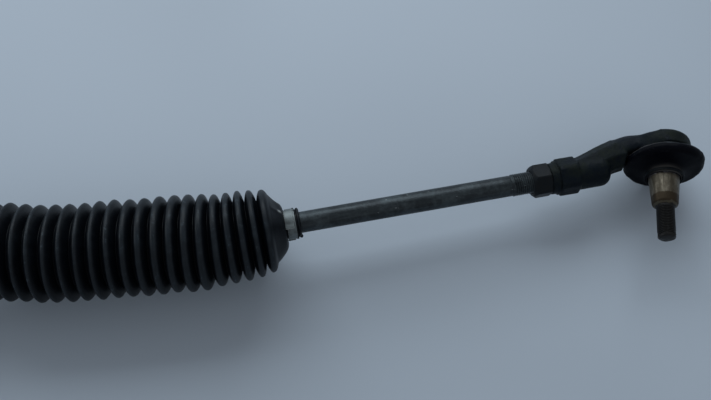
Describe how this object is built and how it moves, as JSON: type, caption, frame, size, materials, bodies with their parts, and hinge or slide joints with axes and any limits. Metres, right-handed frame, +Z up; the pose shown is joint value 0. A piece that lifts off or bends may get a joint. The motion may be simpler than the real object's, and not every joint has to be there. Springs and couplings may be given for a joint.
{
  "type": "steering rack",
  "caption": "Manual rack-and-pinion steering gear with ribbed bellows, inner tie rods and forged tie rod ends with tapered ball studs.",
  "frame": {"origin": "centre of the four mounting bolt holes, in the plane of the mounting faces that the gear stands on", "axes": "+X along the rack, away from the pinion; +Y to the rear, the side that the yoke and the ball studs point away from; +Z up from the mounting plane"},
  "size_m": [1.4578, 0.1544, 0.112],
  "materials": {
    "cast_alloy": "as cast",
    "painted_tube": "satin black",
    "nylon": "moulded",
    "spring_steel": "tempered",
    "rubber": "moulded",
    "zinc_steel": "zinc plated",
    "bright_steel": "machined",
    "black_plastic": "moulded",
    "dark_steel": "darkened and mottled",
    "forged_iron": "forged, darkened",
    "stud_steel": "tarnished",
    "boot_rubber": "moulded",
    "bellows_rubber": "moulded, slightly glossy",
    "clamp_steel": "rolled"
  },
  "bodies": {
    "housing": {"bearing_outer_race": "bright_steel", "bearing_shields": "bright_steel", "bellows_large_clamp_left": "clamp_steel", "bellows_large_clamp_right": "clamp_steel", "bellows_left": "bellows_rubber", "bellows_right": "bellows_rubber", "bush_snap_ring": "spring_steel", "dust_cap": "black_plastic", "gear_casting": "cast_alloy", "mount_rubbers": "rubber", "mount_sleeves": "zinc_steel", "needle_bearing": "bright_steel", "pinion_cap": "zinc_steel", "pinion_seal": "rubber", "rack_bush": "nylon", "rack_tube": "painted_tube", "saddle_bracket": "painted_tube", "saddle_rubber": "rubber", "yoke": "cast_alloy", "yoke_liner": "nylon", "yoke_locknut": "zinc_steel", "yoke_plug": "zinc_steel", "yoke_spring": "spring_steel"},
    "rack": {"rack_bar": "bright_steel", "inner_socket_right": "bright_steel", "inner_socket_left": "bright_steel", "lock_washer_right": "zinc_steel", "lock_washer_left": "zinc_steel"},
    "pinion": {"pinion": "bright_steel", "bearing_inner_race": "bright_steel", "pinion_circlip": "spring_steel"},
    "ball_seat_right": {"inner_ball_seat_right": "nylon"},
    "tie_rod_right": {"tie_rod_right": "dark_steel", "jam_nut_right": "dark_steel", "tie_rod_end_right": "forged_iron", "outer_ball_seat_right": "nylon", "seat_spring_right": "spring_steel", "cover_plate_right": "forged_iron", "boot_ring_large_right": "dark_steel", "dust_boot_right": "boot_rubber", "bellows_small_clamp_right": "clamp_steel"},
    "boot_ring_right": {"boot_ring_small_right": "dark_steel"},
    "ball_stud_right": {"ball_stud_right": "stud_steel"},
    "ball_seat_left": {"inner_ball_seat_left": "nylon"},
    "tie_rod_left": {"tie_rod_left": "dark_steel", "jam_nut_left": "dark_steel", "tie_rod_end_left": "forged_iron", "outer_ball_seat_left": "nylon", "seat_spring_left": "spring_steel", "cover_plate_left": "forged_iron", "boot_ring_large_left": "dark_steel", "dust_boot_left": "boot_rubber", "bellows_small_clamp_left": "clamp_steel"},
    "boot_ring_left": {"boot_ring_small_left": "dark_steel"},
    "ball_stud_left": {"ball_stud_left": "stud_steel"}
  },
  "joints": [
    {"name": "rack_slide", "type": "slide", "parent": "housing", "child": "rack", "axis": [1, 0, 0], "range_m": [-0.075, 0.075], "deforming": ["bellows_right", "bellows_left"]},
    {"name": "pinion_turn", "type": "hinge", "parent": "housing", "child": "pinion", "pos_m": [-0.125, 0.01475, 0.03663], "axis": [0, 0.342, 0.9397], "range_deg": [-540, 540]},
    {"name": "tie_rod_yaw_right", "type": "hinge", "parent": "rack", "child": "ball_seat_right", "pos_m": [0.32, 0, 0.042], "axis": [0, 0, 1], "range_deg": [-33.1, 10.9], "deforming": ["bellows_right"]},
    {"name": "tie_rod_pitch_right", "type": "hinge", "parent": "ball_seat_right", "child": "tie_rod_right", "pos_m": [0.32, 0, 0.042], "axis": [0.1925, -0.9813, 0], "range_deg": [-20.02, 23.98], "deforming": ["bellows_right"]},
    {"name": "stud_tilt_right", "type": "hinge", "parent": "tie_rod_right", "child": "boot_ring_right", "pos_m": [0.70051, 0.07465, 0.0286], "axis": [-0.0068, -0.1432, -0.9897], "range_deg": [-20, 12], "deforming": ["dust_boot_right"]},
    {"name": "stud_spin_right", "type": "hinge", "parent": "boot_ring_right", "child": "ball_stud_right", "pos_m": [0.70051, 0.07465, 0.0286], "axis": [-0.1173, -0.9828, 0.143], "continuous": true},
    {"name": "tie_rod_yaw_left", "type": "hinge", "parent": "rack", "child": "ball_seat_left", "pos_m": [-0.32, 0, 0.042], "axis": [0, 0, -1], "range_deg": [-33.1, 10.9], "deforming": ["bellows_left"]},
    {"name": "tie_rod_pitch_left", "type": "hinge", "parent": "ball_seat_left", "child": "tie_rod_left", "pos_m": [-0.32, 0, 0.042], "axis": [0.1925, 0.9813, 0], "range_deg": [-20.02, 23.98], "deforming": ["bellows_left"]},
    {"name": "stud_tilt_left", "type": "hinge", "parent": "tie_rod_left", "child": "boot_ring_left", "pos_m": [-0.70051, 0.07465, 0.0286], "axis": [-0.0068, 0.1432, 0.9897], "range_deg": [-20, 12], "deforming": ["dust_boot_left"]},
    {"name": "stud_spin_left", "type": "hinge", "parent": "boot_ring_left", "child": "ball_stud_left", "pos_m": [-0.70051, 0.07465, 0.0286], "axis": [-0.1173, 0.9828, -0.143], "continuous": true}
  ],
  "couplings": [
    {"joint": "pinion_turn", "follows": "rack_slide", "rad_per_m": 125}
  ]
}
